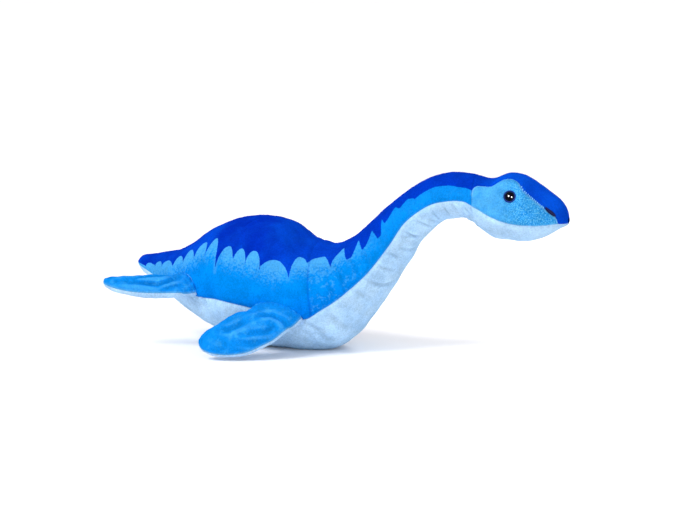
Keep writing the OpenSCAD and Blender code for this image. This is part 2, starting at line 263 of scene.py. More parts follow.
BORDER = flame_border()
BORDER_SPACE = body_point(BORDER[:, 0], BORDER[:, 1])


def border_distance(points, s, a):
    """Millimetres from the dark back's border, above 0 on its light side."""
    best = np.full(len(points), 1e9)
    above = np.zeros(len(points), int)
    p, q = BORDER_SPACE[:-1], BORDER_SPACE[1:]
    d = q - p
    dd = np.maximum((d * d).sum(-1), 1e-9)
    (s0, a0), (s1, a1) = BORDER[:-1].T, BORDER[1:].T
    run = np.where(s1 == s0, 1e-9, s1 - s0)
    for i in range(0, len(points), 4000):
        x = points[i:i + 4000, None, :] - p[None]
        t = np.clip((x * d[None]).sum(-1) / dd, 0, 1)
        best[i:i + 4000] = np.sqrt(((x - t[..., None] * d)**2).sum(-1).min(1))
        here, angle = s[i:i + 4000, None], a[i:i + 4000, None]
        crossed = (s0 > here) != (s1 > here)
        above[i:i + 4000] = (crossed & (a0 + (a1 - a0) * (here - s0) / run < angle)).sum(1)
    ends = (s < BORDER[0, 0]) & (a > BORDER[0, 1]) | (s > BORDER[-1, 0])
    return np.where((above % 2 == 1) | ends, best, -best)


def tongue_line(s):
    """Angle of the smooth line through the tops of the light tongues."""
    return np.interp(s, FLAMES[:, 2], FLAMES[:, 3])


# ------------------------------ relief of the sewn skin

# Creases in the cloth: station and angle of both ends, depth and half width in millimetres
CREASES = [
    (14.74, 108, 14.9, 156, 1.8, 1.3), (12.78, 112, 13.1, 166, 1.8, 1.5),
    (13.3, 110, 13.47, 148, 1.4, 1.3), (13.72, 107, 13.88, 138, 1.3, 1.2),
    (14.2, 124, 14.36, 168, 1.2, 1.3), (14.5, 115, 14.86, 150, 1.2, 1.2),
    (15.32, 110, 15.54, 156, 1.3, 1.3), (16.12, 108, 16.15, 152, 1.3, 1.3),
    (16.83, 106, 16.94, 146, 1.3, 1.2), (17.2, 104, 17.58, 134, 1.1, 1.2),
    (15.75, 132, 15.95, 172, 1.1, 1.3), (18.1, 114, 18.7, 132, 1.1, 1.2),
    (18.45, 128, 18.55, 168, 1.1, 1.3), (12.3, 108, 12.45, 146, 1.1, 1.8),
    (11.25, 106, 11.5, 144, 1.3, 2.2), (10.6, 122, 11.0, 154, 1.1, 2.4),
    (12.83, 62, 12.75, 100, 1.0, 2.2), (13.26, 66, 13.2, 102, 0.9, 2.0),
    (12.2, 76, 12.12, 102, 0.9, 2.2), (11.6, 72, 11.7, 99, 0.8, 2.6),
    (7.5, 27, 8.02, 8, 1.0, 1.2), (6.02, 97, 6.3, 106, 1.2, 1.3), (6.35, 99, 6.45, 108, 1.0, 1.2),
    (5.2, 104, 6.0, 112, 0.8, 1.6), (9.9, 103, 10.9, 126, 1.0, 2.2)]

GROOVE_DEPTH, GROOVE_WIDTH = 1.0, 1.3


def crease_relief(s, a):
    """Creases on both sides of the body, each a furrow with a soft bank beside it."""
    x, side, degree = along(s), on_one_side(a), degree_at(s)
    total = np.zeros_like(x)
    for s0, a0, s1, a1, depth, width in CREASES:
        x0, x1 = along(s0), along(s1)
        dx, dy = x1 - x0, (a1 - a0) * degree
        px, py = x - x0, (side - a0) * degree
        length2 = dx * dx + dy * dy
        t = np.clip((px * dx + py * dy) / length2, 0, 1)
        bow = 1.2 * np.sin(math.pi * t) * np.sin(s0 * 9.0)
        across = (px * dy - py * dx) / np.sqrt(length2) + bow
        beyond = np.hypot(px - t * dx, py - t * dy)
        off = np.where((t > 0) & (t < 1), np.abs(across), beyond)
        fade = np.sin(math.pi * np.clip(t, 0.04, 0.96))**0.7
        total -= depth * fade * (bell(off, width) - 0.45 * bell(off - 2.1 * width, width * 1.2))
    return total


def seams(s, a):
    """Millimetres to the nearest sewn seam of the body, how deep that seam is drawn in from
    0 to 1, and millimetres to the nearest seam with a light edge."""
    none = 99.0  # stands for a seam that isn't there
    x, side, degree = along(s), on_one_side(a), degree_at(s)
    pale = np.abs(side - pale_angle(s)) * degree
    back = np.where(s < HEAD_SEAM, side * degree, none)
    shoulder = np.where(side < pale_angle(s) + 2, np.abs(x - along(SHOULDER_SEAM)), none)
    head = np.abs(x - along(HEAD_SEAM))
    crown = none + 0 * x
    edge = body_point(CROWN_EDGE[:, 0], CROWN_EDGE[:, 1])
    points = body_point(s, side)
    for p, q in zip(edge[:-1], edge[1:]):
        d = q - p
        t = np.clip(((points - p) @ d) / (d @ d), 0, 1)
        crown = np.minimum(crown, np.linalg.norm(points - p - t[..., None] * d, axis=-1))
    crown = np.where(s > HEAD_SEAM - 0.3, crown, none)
    every = np.stack([pale, crown, back, shoulder, head])
    head_depth = 0.25 + 0.75 * smoothstep(side, 55, 75)
    depth = np.stack([k + 0 * x for k in (1, 0.9, 0.45, 0.7)] + [head_depth])
    nearest = every.argmin(0)[None]
    return every.min(0), np.take_along_axis(depth, nearest, 0)[0], np.minimum(pale, crown)


def eye_relief(s, a):
    """The socket that the eye sits in, and the swell of the brow and the cheek round it."""
    side = on_one_side(a)
    centre = body_point(*EYE)
    off = np.linalg.norm(body_point(s, side) - centre, axis=-1)
    brow = np.linalg.norm(body_point(s, side) - body_point(EYE[0] - 0.05, EYE[1] - 20), axis=-1)
    return -1.6 * bell(off, 6) + 1.7 * bell(off - 11, 5) * (side < 100) + 1.5 * bell(brow, 9)


def root_relief(points):
    """Dimples of the skin round the roots of the flippers, where the seam pulls it in."""
    total = np.zeros(points.shape[:-1])
    mirrored = points * (1, -1, 1)
    for flipper in FLIPPERS.values():
        root = np.array(flipper["root"], float)
        for p in (points, mirrored):
            off = np.linalg.norm((p - root) * (0.7, 1, 1.1), axis=-1)
            total -= 1.6 * bell(off - 16, 7)
    return total


def skin(s, a):
    """Point of the finished skin in millimetres: the CAD's surface with all its relief."""
    s, a = np.broadcast_arrays(np.asarray(s, float), np.asarray(a, float))
    points = body_point(s, a)
    step = 0.004
    across = body_point(s, a + 0.5) - body_point(s, a - 0.5)
    ahead = body_point(np.minimum(s + step, LAST), a) - body_point(np.maximum(s - step, 0), a)
    normal = unit_rows(np.cross(across, ahead))
    size = np.clip(girth_at(s) / 25, 0.15, 1)
    pucker = 0.25 * np.sin(along(s) * 1.15 + np.cos(along(s) * 0.37) * 2)
    seam, drawn, _ = seams(s, a)
    relief = (drawn * (-(GROOVE_DEPTH + pucker) * bell(seam, GROOVE_WIDTH)
                       + 0.5 * bell(seam - 5, 3.5) + pucker * bell(seam - 3, 3))
              + 0.5 * wavy(points, 3, 34) + 0.22 * wavy(points, 5, 13))
    slack = 0.9 + 2.2 * bell(s - 9.7, 1.2) + 2.0 * bell(s - 19.45, 0.7)
    relief -= np.clip(np.cos(np.radians(a)), 0, 1) * slack
    relief = relief * size + crease_relief(s, a) + root_relief(points)
    relief = np.where(s > 19, relief + eye_relief(s, a), relief)
    relief = np.where(points[..., 2] < 6, np.minimum(relief, 0.3), relief)
    moved = points + normal * relief[..., None]
    moved[..., 2] = np.maximum(moved[..., 2], CLEAR)
    return moved


def skin_normals(s, a):
    """Outward directions of the finished skin, the same for two pieces that share a point."""
    ds, da = 0.03, 0.8
    ahead = skin(np.minimum(s + ds, LAST), a) - skin(np.maximum(s - ds, 0), a)
    across = skin(s, a + da) - skin(s, a - da)
    return unit_rows(np.cross(across, ahead))


# ------------------------------ meshes


def new_object(name, points, faces, material, attributes=None, normals=None):
    """Mesh object from points in millimetres, smooth, with values kept per point."""
    mesh = bpy.data.meshes.new(name)
    mesh.from_pydata((np.asarray(points) * MM).tolist(), [], faces)
    for key, values in (attributes or {}).items():
        layer = mesh.attributes.new(key, "FLOAT", "POINT")
        layer.data.foreach_set("value", np.asarray(values, np.float32))
    mesh.materials.append(material)
    mesh.polygons.foreach_set("use_smooth", [True] * len(mesh.polygons))
    mesh.validate()
    if normals is not None:
        mesh.normals_split_custom_set_from_vertices([tuple(n) for n in normals])
    obj = bpy.data.objects.new(name, mesh)
    bpy.context.scene.collection.objects.link(obj)
    return obj


def grid_faces(rows, columns, first=0):
    """Quads of a grid, seen from its outer side when rows x columns turns outwards."""
    i, j = np.meshgrid(np.arange(rows - 1), np.arange(columns - 1), indexing="ij")
    o = (first + i * columns + j).ravel()
    return np.stack([o, o + 1, o + columns + 1, o + columns], -1)


def ring_faces(rings, segments):
    """Faces of a closed round piece made of a first point, rings of points and a last point."""
    last, end = 1 + (rings - 1) * segments, 1 + rings * segments
    faces = []
    for j in range(segments):
        q = (j + 1) % segments
        faces.append([0, 1 + q, 1 + j])
        for o in range(1, last, segments):
            faces.append([o + j, o + q, o + segments + q, o + segments + j])
        faces.append([last + j, last + q, end])
    return faces


def shell_faces(rows, columns):
    """Faces of a closed sheet made of an outer grid followed by an inner grid."""
    count = rows * columns
    outer = grid_faces(rows, columns)
    inner = grid_faces(rows, columns, count)[:, ::-1]
    first = np.arange(columns - 1)
    last = first + (rows - 1) * columns
    left = np.arange(rows - 1) * columns
    right = left + columns - 1
    walls = [
        np.stack([first + 1, first, first + count, first + 1 + count], -1),
        np.stack([last, last + 1, last + 1 + count, last + count], -1),
        np.stack([left, left + columns, left + columns + count, left + count], -1),
        np.stack([right + columns, right, right + count, right + columns + count], -1)]
    return np.concatenate([outer, inner, *walls]).tolist()


def new_shell(name, outer, inner, normals, material, values, flip=1, turned=False):
    """Closed sheet of cloth from its outer and its inner grid. flip is -1 for the left side;
    turned is for grids whose rows x columns turn inwards."""
    points = np.concatenate([outer.reshape(-1, 3), inner.reshape(-1, 3)]) * (1, flip, 1)
    directions = np.concatenate([normals.reshape(-1, 3), -normals.reshape(-1, 3)]) * (1, flip, 1)
    values = {key: np.tile(v.ravel(), 2) for key, v in values.items()}
    faces = shell_faces(*outer.shape[:2])
    if turned:
        faces = [face[::-1] for face in faces]
    return new_object(name, points, faces, material, values, directions)


def even_stations(s0, s1, spacing, edge=None):
    """Stations between s0 and s1, closer together where the panel's edge runs steeply."""
    fine = np.linspace(s0, s1, 1200)
    steps = np.diff(along(fine))
    if edge is not None:
        line = body_point(fine, edge(fine))
        steps = np.maximum(steps, 0.8 * np.linalg.norm(np.diff(line, axis=0), axis=1))
    length = np.concatenate([[0], np.cumsum(steps)])
    count = max(int(round(length[-1] / spacing)), 2)
    return np.interp(np.linspace(0, length[-1], count + 1), length, fine)


def body_panel(name, s0, s1, start, end, columns, material, spacing=1.4, edge=None):
    """Closed sheet of cloth between two stations and two sewn edges, with its values for the
    shader. edge is the one that the spacing of its rows follows."""
    stations = even_stations(s0, s1, spacing, edge)
    slack = SEAM_SLACK / degree_at(stations)
    low, high = start(stations) + slack, end(stations) - slack
    t = np.linspace(0, 1, columns + 1)
    t = t - 0.03 * np.sin(2 * math.pi * t)
    a = low[:, None] + (high - low)[:, None] * t
    s = np.repeat(stations[:, None], columns + 1, 1)
    normals = skin_normals(s, a)
    outer = skin(s, a)
    inner = outer - normals * np.minimum(FABRIC, girth_at(s) / 4)[..., None]
    inner[..., 2] = np.maximum(inner[..., 2], CLEAR + 0.8 * (outer[..., 2] < 3))
    flat_s, flat_a = s.ravel(), a.ravel()
    side = on_one_side(flat_a)
    seam, _, light_seam = seams(flat_s, flat_a)
    border = border_distance(body_point(flat_s, side), flat_s, side)
    fade = (side - tongue_line(flat_s)) * degree_at(flat_s)
    values = {"border": border, "fade": fade, "seam": seam, "light_seam": light_seam,
              "station": flat_s, "fold": crease_relief(flat_s, flat_a)}
    return new_shell(name, outer, inner, normals, material, values)


# ------------------------------ materials


def srgb(red, green, blue):
    """Linear colour from the 0 to 255 values of a colour on a screen."""
    def linear(v):
        v /= 255
        return v / 12.92 if v <= 0.04045 else ((v + 0.055) / 1.055)**2.4
    return (linear(red), linear(green), linear(blue), 1.0)


class Nodes:
    """Small helper that adds and links shader nodes."""

    def __init__(self, name):
        self.material = bpy.data.materials.new(name)
        self.material.use_nodes = True
        self.tree = self.material.node_tree
        self.shader = self.tree.nodes["Principled BSDF"]
        self.place = self.add("ShaderNodeTexCoord").outputs["Object"]

    def add(self, kind, inputs=None, **settings):
        """A new node with these settings, and with a value or a link on each of these inputs."""
        node = self.tree.nodes.new(kind)
        for key, value in settings.items():
            setattr(node, key, value)
        for key, value in (inputs or {}).items():
            self.put(value, node.inputs[key])
        return node

    def put(self, value, socket):
        if isinstance(value, bpy.types.NodeSocket):
            self.tree.links.new(value, socket)
        else:
            socket.default_value = value

    def dress(self, **sockets):
        """Sets or links inputs of the shader, named with _ for each space."""
        for name, value in sockets.items():
            self.put(value, self.shader.inputs[name.replace("_", " ")])
        return self.material

    def math(self, operation, a, b):
        return self.add("ShaderNodeMath", {0: a, 1: b}, operation=operation).outputs[0]

    def times(self, product, *factors):
        for factor in factors:
            product = self.math("MULTIPLY", product, factor)
        return product

    def ramp(self, value, low, high, start=0.0, stop=1.0, smooth=True):
        """Goes from start, where the value is low, to stop, where it is high."""
        inputs = dict(enumerate((value, low, high, start, stop)))
        kind = "SMOOTHSTEP" if smooth else "LINEAR"
        return self.add("ShaderNodeMapRange", inputs, interpolation_type=kind).outputs[0]

    def mix(self, share, a, b):
        """Colour a, with that share of it replaced by b."""
        return self.add("ShaderNodeMix", {0: share, 6: a, 7: b}, data_type="RGBA").outputs[2]

    def noise(self, size, detail=2.0, rough=0.5):
        """Noise whose lumps are about size metres across."""
        inputs = {"Vector": self.place, "Scale": 1 / size, "Detail": detail, "Roughness": rough}
        return self.add("ShaderNodeTexNoise", inputs).outputs["Fac"]

    def value(self, name):
        """The value that a mesh keeps per point under that name."""
        return self.add("ShaderNodeAttribute", attribute_name=name).outputs["Fac"]

    def pile(self, colour, light=0.75):
        """Short velvet pile: brushed patches, fine tufts, a soft sheen, and painted shade in the
        folds with a painted highlight on their banks."""
        brushed = self.noise(0.016, 3, 0.6)
        tufts = self.noise(0.0016, 3, 0.7)
        dark = self.ramp(tufts, 0.3, 0.7, 0.88 * light, 1.14 * light)
        # painted shade in the folds and a painted highlight on their banks, driven by the fold
        # relief
        folds = self.ramp(self.value("fold"), -1.6, 1.0, 0.8, 1.12, smooth=False)
        dark = self.times(dark, self.ramp(brushed, 0.3, 0.7, 0.9, 1.08), folds)
        shade = self.add("ShaderNodeVectorMath", {0: colour, "Scale": dark}, operation="SCALE")
        height = self.math("ADD", tufts, self.times(self.noise(0.006, 2), 0.8))
        bump = self.add("ShaderNodeBump",
                        {"Strength": 0.35, "Distance": 0.0009, "Height": height})
        return self.dress(
            Base_Color=shade.outputs[0], Normal=bump.outputs[0],
            Roughness=self.ramp(tufts, 0.3, 0.7, 0.95, 0.8), Specular_IOR_Level=0.0,
            Sheen_Weight=0.03, Sheen_Roughness=0.45, Sheen_Tint=(0.15, 0.6, 1.0, 1.0))


DARK, DARK_DEEP = srgb(3, 74, 218), srgb(2, 48, 190)
# The third colour on the next line is the mid blue darkened by painted shade, for the low side
TONGUE, MID, LOW = srgb(80, 178, 248), srgb(2, 143, 244), srgb(1, 122, 233)
PALE, PALE_SHADE = srgb(178, 214, 245), srgb(164, 203, 239)
CHEEK, CHEEK_FRONT = srgb(84, 182, 249), srgb(60, 178, 248)


def side_material():
    """Printed side cloth: the dark back, and tongues that fade into the mid blue."""
    m = Nodes("plush_side")
    station = m.value("station")
    fuzz = m.times(m.math("SUBTRACT", m.noise(0.0013, 2), 0.5), 1.3)
    flame = m.ramp(m.math("ADD", m.value("border"), fuzz), -0.35, 0.45)
    speckle = m.ramp(m.noise(0.0022, 2, 0.7), 0.4, 0.62)
    fade = m.value("fade")
    drift = m.math("ADD", fade, m.times(m.math("SUBTRACT", speckle, 0.5), 9))
    neck = m.ramp(station, 12.0, 14.4, 1, 0.05)
    tongue = m.times(m.ramp(drift, 5, 24, 1, 0), neck)
    edge_glow = m.times(m.ramp(m.value("border"), 0.3, 3.0, 0.4, 0), neck)
    tongue = m.math("MAXIMUM", m.times(tongue, 0.9), edge_glow)
    # painted shade: the mid blue darkens low on the side, towards the belly
    lower = m.ramp(fade, 28, 62)
    light = m.mix(lower, MID, LOW)
    base = m.ramp(station, 10.45, 10.6)
    streaks = m.ramp(m.noise(0.005, 3, 0.65), 0.52, 0.66, 0, 0.45)
    streaks = m.times(streaks, base, m.ramp(station, 12.2, 13.4, 1, 0.15))
    light = m.mix(streaks, light, TONGUE)
    light = m.mix(tongue, light, TONGUE)
    # painted highlight: the dark back is lighter over the hump
    hump_highlight = m.times(m.ramp(station, 8.2, 9.6), 0.7)
    bright = m.math("MAXIMUM", m.ramp(m.noise(0.03, 2), 0.35, 0.65), hump_highlight)
    bright = m.times(bright, m.ramp(station, 11.5, 13, 1, 0.45))
    colour = m.mix(flame, m.mix(bright, DARK_DEEP, DARK), light)
    rim = m.times(m.ramp(m.value("light_seam"), 0.4, 2.2, 0.35, 0), flame)
    colour = m.mix(rim, colour, TONGUE)
    # painted shade: a dark line along the groove of the shoulder seam
    shoulder = m.times(m.ramp(station, 10.3, 10.4), m.ramp(station, 10.6, 10.7, 1, 0))
    seam_shade = m.times(m.ramp(m.value("seam"), 0.3, 1.8, 0.28, 0), shoulder)
    return m.pile(m.mix(seam_shade, colour, DARK))


def pale_material():
    """Plain pale cloth of the belly, the throat and the jaw."""
    m = Nodes("plush_pale")
    patches = m.ramp(m.noise(0.02, 3, 0.6), 0.35, 0.65)
    return m.pile(m.mix(patches, PALE_SHADE, PALE), light=0.9)


def crown_material():
    """Dark cloth of the crown, as deep at the nape as the neck's stripe."""
    m = Nodes("plush_crown")
    top = m.mix(m.ramp(m.noise(0.03, 2), 0.35, 0.65), DARK, srgb(5, 86, 228))
    nape = m.ramp(m.value("station"), 19.0, 20.8, 0.65, 0)
    return m.pile(m.mix(nape, top, DARK_DEEP))


def cheek_material():
    """Light cheek cloth, speckled with darker and lighter tufts towards the snout."""
    m = Nodes("plush_cheek")
    front = m.ramp(m.value("station"), 20.3, 22.6)
    tufts = m.noise(0.0011, 1, 0.5)
    dark = m.times(m.ramp(tufts, 0.5, 0.58), m.math("ADD", 0.2, m.times(front, 0.8)))
    light = m.times(m.ramp(tufts, 0.45, 0.36), 0.7)
    blotch = m.ramp(m.noise(0.012, 2), 0.45, 0.7)
    base = m.mix(m.times(front, 0.7), CHEEK, CHEEK_FRONT)
    base = m.mix(m.times(blotch, 0.35), base, MID)
    base = m.mix(m.times(dark, 0.65), base, srgb(6, 122, 222))
    base = m.mix(m.times(light, front), base, srgb(120, 206, 252))
    rim = m.ramp(m.value("light_seam"), 0.4, 2.2, 0.5, 0)
    return m.pile(m.mix(rim, base, srgb(140, 208, 252)))


def flipper_material():
    """Mid blue flipper cloth, with lighter brushed tufts and a paler edge."""
    m = Nodes("plush_flipper")
    light = m.ramp(m.noise(0.007, 4, 0.65), 0.5, 0.7, 0, 0.5)
    base = m.mix(light, srgb(12, 142, 242), srgb(64, 176, 250))
    # painted highlight: lighter on the raised banks of the folds
    base = m.mix(m.ramp(m.value("fold"), 0.1, 0.9, 0, 0.28), base, srgb(96, 192, 250))
    rim = m.ramp(m.value("seam"), 0.5, 3.2, 0.6, 0)
    return m.pile(m.mix(rim, base, srgb(110, 198, 250)))


def thread_material(name, colour):
    """Embroidery thread, with painted highlights in small random flecks for the tops of its twist.
    """
    m = Nodes(name)
    # painted highlight: lighter flecks for the tops of the twist
    twist = m.ramp(m.noise(0.0006, 2), 0.4, 0.6)
    return m.dress(Base_Color=m.mix(twist, colour, tuple(min(c * 1.5, 1) for c in colour)),
                   Roughness=0.6, Specular_IOR_Level=0.08)


def glass_material(name, colour, rough, shine=0.5):
    """Moulded safety-eye plastic, with the faintest haze in its polish."""
    m = Nodes(name)
    cloud = m.ramp(m.noise(0.002, 3), 0.4, 0.6)
    return m.dress(Base_Color=m.mix(cloud, colour, tuple(c * 1.3 for c in colour)),
                   Roughness=m.ramp(m.noise(0.001, 2), 0.3, 0.7, rough, rough * 1.6),
                   Specular_IOR_Level=shine)


# ------------------------------ parts of the body


def zero(s):
    """Edge of a panel along the middle of the back."""
    return np.zeros_like(np.asarray(s, float))


def far(edge):
    """The same edge on the left side, reached by way of the belly."""
    return lambda s: 360 - edge(s)


def mirror_of(edge):
    """The same edge on the left side, reached by way of the back."""
    return lambda s: -edge(s)


def bend(piece, joint, a, b, station, before, after):
    """Bakes the piece's placement into its mesh; the joint, the two bodies, the station and the
    lengths are not used.
    """
    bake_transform(piece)


# For each bend of the spine: its joint, the bodies before and after it, its station, and how far a
# bend of the cloth would reach before and after it in millimetres
BENDS = {
    "tail": ("tail_wag", "tail", "torso", TAIL_JOINT, 16, 20),
    "neck": ("neck_bend", "torso", "neck_lower", NECK_JOINT, 30, 30),
    "sway": ("neck_sway", "neck_lower", "neck_upper", SWAY_JOINT, 30, 30),
    "nod": ("head_nod", "neck_upper", "head", NOD_JOINT, 28, 10)}


def finish_piece(piece, kind, nodes):
    """Bakes a panel's placement and hides the CAD nodes that it stands for."""
    bend(piece, *BENDS[kind])
    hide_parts(*nodes)


def build_sides(material):
    """The printed side panels, right and left, from the tail tip to the head."""
    for side in ("right", "left"):
        low, high = zero, pale_angle
        if side == "left":
            low, high = mirror_of(pale_angle), zero
        parts = [
            ("body_side", 0, SHOULDER_SEAM - 0.004, 104, "tail", ["tail_side", "body_side"]),
            ("neck_base", SHOULDER_SEAM + 0.004, LOWER_CUT, 64, "neck", ["neck_base"]),
            ("neck_lower_side", LOWER_CUT, UPPER_CUT, 64, "sway", ["neck_lower_side"]),
            ("neck_upper_side", UPPER_CUT, HEAD_SEAM - 0.01, 64, "nod", ["neck_upper_side"])]
        for name, s0, s1, columns, kind, nodes in parts:
            piece = body_panel(f"{name}_{side}_cloth", s0, s1, low, high, columns, material)
            finish_piece(piece, kind, [f"{n}_{side}" for n in nodes])


def build_underside(material):
    """The pale panel of the tail, the belly and the throat, in four lengths."""
    parts = [
        ("belly_rear_cloth", 0, BELLY_CUT, 84, "tail", ["tail_underside", "tail_filling"]),
        ("belly_front_cloth", BELLY_CUT, LOWER_CUT, 84, "neck", ["belly_panel", "body_filling"]),
        ("throat_lower_cloth", LOWER_CUT, UPPER_CUT, 84, "sway",
         ["throat_lower", "neck_lower_filling"]),
        ("throat_upper_cloth", UPPER_CUT, HEAD_SEAM - 0.01, 84, "nod",
         ["throat_upper", "neck_upper_filling"])]
    for name, s0, s1, columns, kind, nodes in parts:
        piece = body_panel(name, s0, s1, pale_angle, far(pale_angle), columns, material)
        finish_piece(piece, kind, nodes)


def build_head(crown, cheek, pale):
    """The crown, the two cheeks and the jaw."""
    start = HEAD_SEAM + 0.01
    piece = body_panel("crown_cloth", start, LAST, mirror_of(crown_angle), crown_angle, 88,
                       crown, spacing=0.9, edge=crown_angle)
    finish_piece(piece, "nod", ["crown_panel", "head_filling"])
    for side, low, high in (("right", crown_angle, pale_angle),
                            ("left", mirror_of(pale_angle), mirror_of(crown_angle))):
        piece = body_panel(f"cheek_{side}_cloth", start, CHEEK_END, low, high, 48, cheek,
                           spacing=0.9, edge=crown_angle)
        finish_piece(piece, "nod", [f"cheek_{side}"])
    piece = body_panel("jaw_cloth", start, LAST, pale_angle, far(pale_angle), 84, pale,
                       spacing=0.9)
    finish_piece(piece, "nod", ["jaw_panel"])


# ------------------------------ flippers


def unit(v):
    """One vector, made 1 long."""
    v = np.asarray(v, float)
    return v / np.linalg.norm(v)


def body_depth(points):
    """Above 0 outside the body's upright rings, for points near the roots of the flippers."""
    station = np.interp(points[..., 0], SPINE[:12, 0], np.arange(12))
    row = rows_at(SPINE, station)
    high = points[..., 2] - row[..., 1]
    radius = np.where(high >= 0, row[..., 3], row[..., 4]) - 1.2
    return (high / radius)**2 + (points[..., 1] / (row[..., 5] - 1.2))**2 - 1


def way_to_skin(points, out):
    """How far along the direction out each point is from the body's skin, found by halving."""
    near, beyond = np.full(points.shape[:-1], -34.0), np.full(points.shape[:-1], 24.0)
    for _ in range(40):
        middle = (near + beyond) / 2
        outside = body_depth(points + middle[..., None] * out) > 0
        beyond = np.where(outside, middle, beyond)
        near = np.where(outside, near, middle)
    return beyond


def flipper_surface(flipper, side, rows=96, columns=72):
    """One face of a flipper, from its seam on the body to its tip: the outer points, their places
    along and out, how far out from the body's skin they are, and the half thickness there. Each
    row runs round the flipper's section from one rim seam to the other."""
    root, along_seam = np.array(flipper["root"], float), unit(flipper["seam"])
    up = np.array(flipper["up"], float)
    up = unit(up - (up @ along_seam) * along_seam)
    out = np.cross(along_seam, up)
    table = np.array(flipper["rows"], float)
    place = np.linspace(0, len(table) - 1, rows)
    place = place - 0.35 * np.sin(2 * math.pi * place / (len(table) - 1))
    row = rows_at(table, place)
    lead, trail = np.radians(RIM_RISE)
    hair = 0.001
    turn = np.linspace(lead + side * hair, side * (math.pi - side * trail - hair), columns)
    t = (1 - np.cos(turn))[None] / 2
    height = (np.sign(np.sin(turn)) * np.abs(np.sin(turn))**0.9)[None]
    u = row[:, 0:1] + (row[:, 2:3] - row[:, 0:1]) * t
    v = row[:, 1:2] + (row[:, 3:4] - row[:, 1:2]) * t
    h = row[:, 4:5] * height
    # The first rows open out into the mouth where the flipper is sewn to the body
    mouth = smoothstep(place, 0, 1.6)[:, None]
    wide_u = flipper["mouth"][0] + (flipper["mouth"][1] - flipper["mouth"][0]) * t
    arch = np.where(height > 0, flipper["arch"][0], flipper["arch"][1]) * height
    arch = arch + flipper["drop"][0] + (flipper["drop"][1] - flipper["drop"][0]) * t
    u = wide_u * (1 - mouth) + u * mouth
    h = arch * (1 - mouth) + h * mouth
    start_v = way_to_skin(root + u[..., None] * along_seam + h[..., None] * up, out)
    reach = smoothstep(place, 0, 1.3)[:, None]
    v = start_v * (1 - reach) + np.maximum(v, start_v + 0.2 * place[:, None]) * reach
    points = root + u[..., None] * along_seam + v[..., None] * out + h[..., None] * up
    return points, u, v, v - start_v, np.abs(row[:, 4:5])


def grid_normals(points):
    """Directions square to a grid of points."""
    return unit_rows(np.cross(np.gradient(points, axis=0), np.gradient(points, axis=1)))


# Folds on the flippers: depth, half width, and the places they run through, along and out
# from the root
FLIPPER_FOLDS = {
    "front": [
        (1.3, 2.2, [(-20, 17), (-15, 10), (-5, 6), (6, 7), (14, 11)]),
        (1.2, 2.4, [(-24, 35), (-13, 29), (-4, 24), (2, 17), (-4, 14)]),
        (1.3, 2.4, [(-47, 36), (-38, 34), (-31, 28), (-23, 18)]),
        (0.8, 2.2, [(-2, 32), (-16, 40), (-30, 43)])],
    "rear": [
        (2.2, 2.4, [(-58, 44), (-46, 36), (-34, 28), (-23, 21), (-19, 13), (-18, 4), (-18, 0)]),
        (1.4, 2.0, [(-56, 38), (-46, 30), (-38, 20), (-30, 11)]),
        (1.2, 1.8, [(-8, 6), (-12, 14), (-20, 26)])]}


def fold_relief(u, v, depth, width, places):
    """A furrow with a bank on both sides, along a line of places, fading at its ends."""
    places = np.array(places, float)
    pieces = np.linalg.norm(np.diff(places, axis=0), axis=1)
    before = np.concatenate([[0], np.cumsum(pieces)])
    nearest, share = np.full(u.shape, 1e9), np.zeros(u.shape)
    for k, length in enumerate(pieces):
        du, dv = (places[k + 1] - places[k]) / length
        t = np.clip((u - places[k, 0]) * du + (v - places[k, 1]) * dv, 0, length)
        off = np.hypot(u - places[k, 0] - t * du, v - places[k, 1] - t * dv)
        share = np.where(off < nearest, (before[k] + t) / before[-1], share)
        nearest = np.minimum(nearest, off)
    fade = np.sin(math.pi * np.clip(share, 0.06, 0.94))**0.6
    bank = 0.55 * bell(nearest - 2 * width, 1.2 * width)
    return depth * fade * (bank - bell(nearest, width))


def flipper_relief(fold, u, v, rise, rim):
    """The folds, with puckers in rings round the root and the seam round the rim."""
    rings = np.sin(rise * 1.05 + 1.4 * np.sin(u * 0.09) - 1.5)
    total = fold + 0.45 * rings * bell(rise - 9, 8)
    total += 0.5 * np.sin(u * 1.1 + 2 * np.sin(v * 0.5)) * bell(rise - 3, 3)
    total += 0.3 * np.sin(v * 1.3 + u * 0.4) * bell(rim - 3, 3)
    return total * np.clip(rim / 4, 0, 1) - 0.5 * bell(rim, 1.2) - 0.9 * bell(rise, 1.5)


